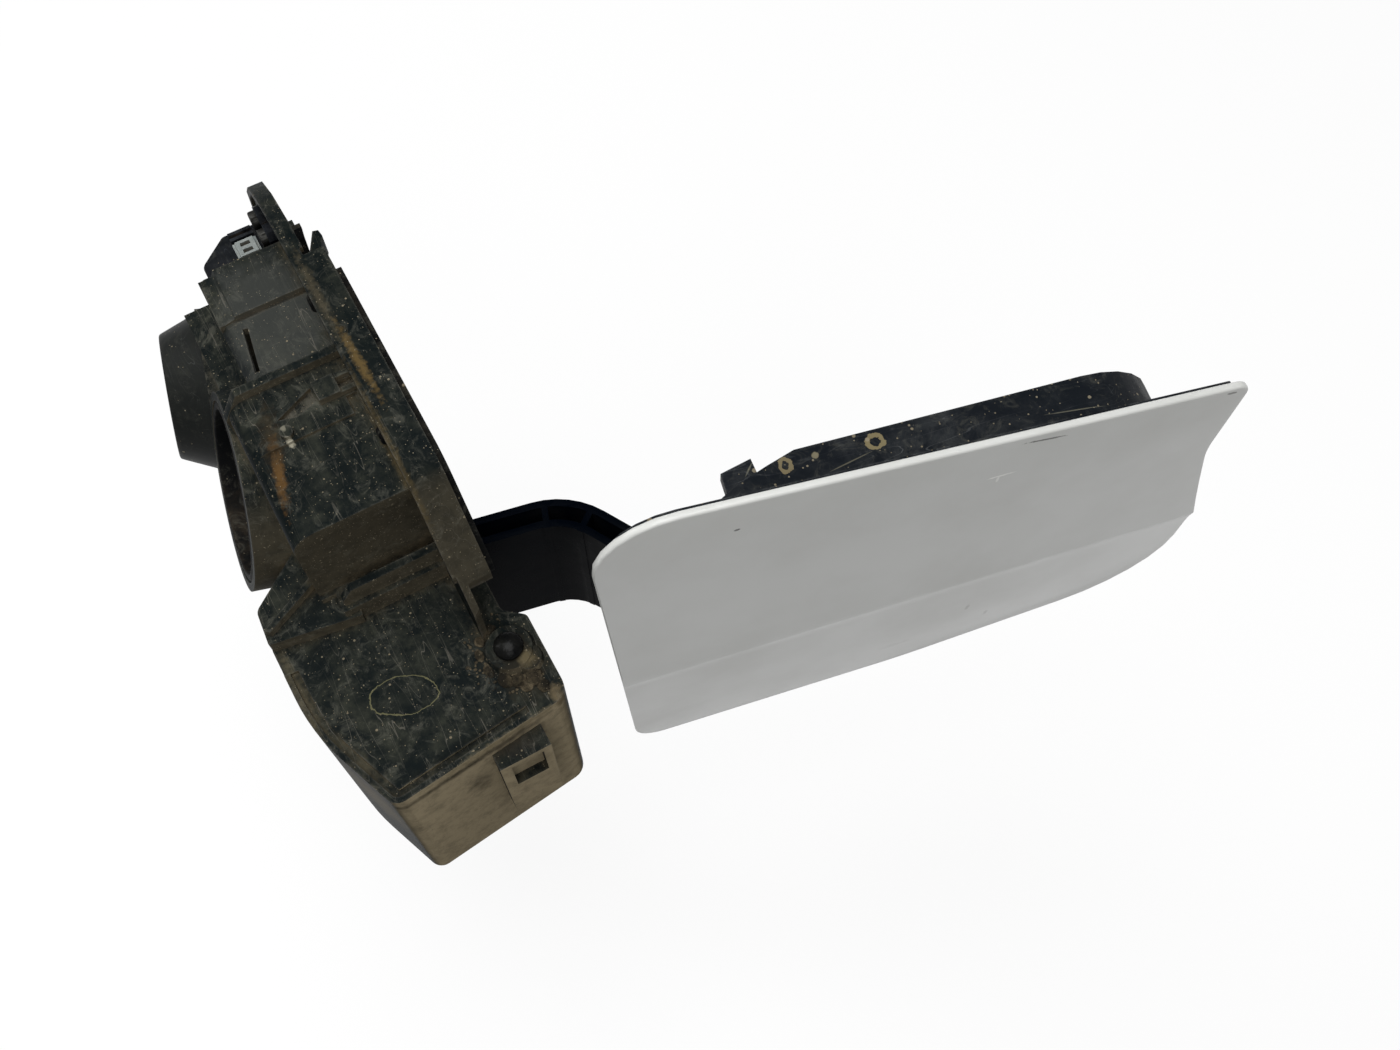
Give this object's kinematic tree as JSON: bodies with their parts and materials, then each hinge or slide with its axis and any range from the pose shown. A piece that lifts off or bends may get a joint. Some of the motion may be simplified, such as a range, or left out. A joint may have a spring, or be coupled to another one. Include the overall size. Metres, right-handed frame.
{
  "type": "fuel filler door and bowl",
  "caption": "Car fuel filler flap: moulded bowl with two tilted neck collars, curved hinge arm in a side pocket, dished carrier and painted outer panel, shown open.",
  "frame": {"origin": "centre of the fuel neck seal's outer end, on the seal's own axis", "axes": "+Y into the car, square to the rim's mounting face; +Z along the hinge axis, up in the picture; +X from the hinge towards the latch"},
  "size_m": [0.2232, 0.2528, 0.1563],
  "materials": {
    "dusty_bowl_plastic": "moulded, dusty",
    "seal_rubber": "matt",
    "neck_seal_rubber": "matt, brown dust",
    "boot_elastomer": "satin",
    "blackened_pin": "gloss black",
    "spring_steel": "drawn wire",
    "buffer_rubber": "matt",
    "latch_plastic": "moulded",
    "actuator_plastic": "moulded, worn edges",
    "coil_wire": "enamelled wire",
    "connector_plastic": "pale insert",
    "zinc_screw": "zinc plated",
    "plunger_steel": "turned, zinc plated",
    "bolt_steel": "turned steel",
    "arm_gloss_plastic": "moulded, gloss blue-black",
    "carrier_plastic": "moulded, paint overspray",
    "body_paint": "light grey body paint, chipped",
    "clip_steel": "zinc plated"
  },
  "bodies": {
    "bowl": {"bowl_housing": "dusty_bowl_plastic", "rim_seal": "seal_rubber", "fuel_neck_seal": "neck_seal_rubber", "second_neck_boot": "boot_elastomer", "hinge_pin": "blackened_pin", "hinge_spring": "spring_steel", "stop_buffers": "buffer_rubber", "latch_case": "latch_plastic", "latch_spring": "spring_steel", "actuator_case": "actuator_plastic", "actuator_cover": "actuator_plastic", "solenoid_coil": "coil_wire", "actuator_connector": "connector_plastic", "actuator_screws": "zinc_screw"},
    "door": {"hinge_arm": "arm_gloss_plastic", "inner_carrier": "carrier_plastic", "outer_panel": "body_paint", "striker_box": "carrier_plastic", "panel_clips": "clip_steel"},
    "plunger": {"latch_plunger": "plunger_steel"},
    "head": {"latch_head": "plunger_steel"},
    "bolt": {"lock_bolt": "bolt_steel"}
  },
  "joints": [
    {"name": "door_hinge", "type": "hinge", "parent": "bowl", "child": "door", "pos_m": [-0.0805, -0.0475, -0.035], "axis": [0, 0, 1], "range_deg": [0, 102], "stiffness_Nm_per_rad": 0.03, "springref_deg": -17.19},
    {"name": "plunger_slide", "type": "slide", "parent": "bowl", "child": "plunger", "axis": [0, 1, 0], "range_m": [-0.007, 0.001]},
    {"name": "head_turn", "type": "hinge", "parent": "plunger", "child": "head", "pos_m": [0.0365, -0.044, 0.022], "axis": [0, 1, 0], "range_deg": [-12.9, 90.1]},
    {"name": "bolt_slide", "type": "slide", "parent": "bowl", "child": "bolt", "axis": [1, 0, 0], "range_m": [-0.0055, 0]}
  ],
  "couplings": [
    {"joint": "head_turn", "follows": "plunger_slide", "rad_per_m": -224.4}
  ]
}
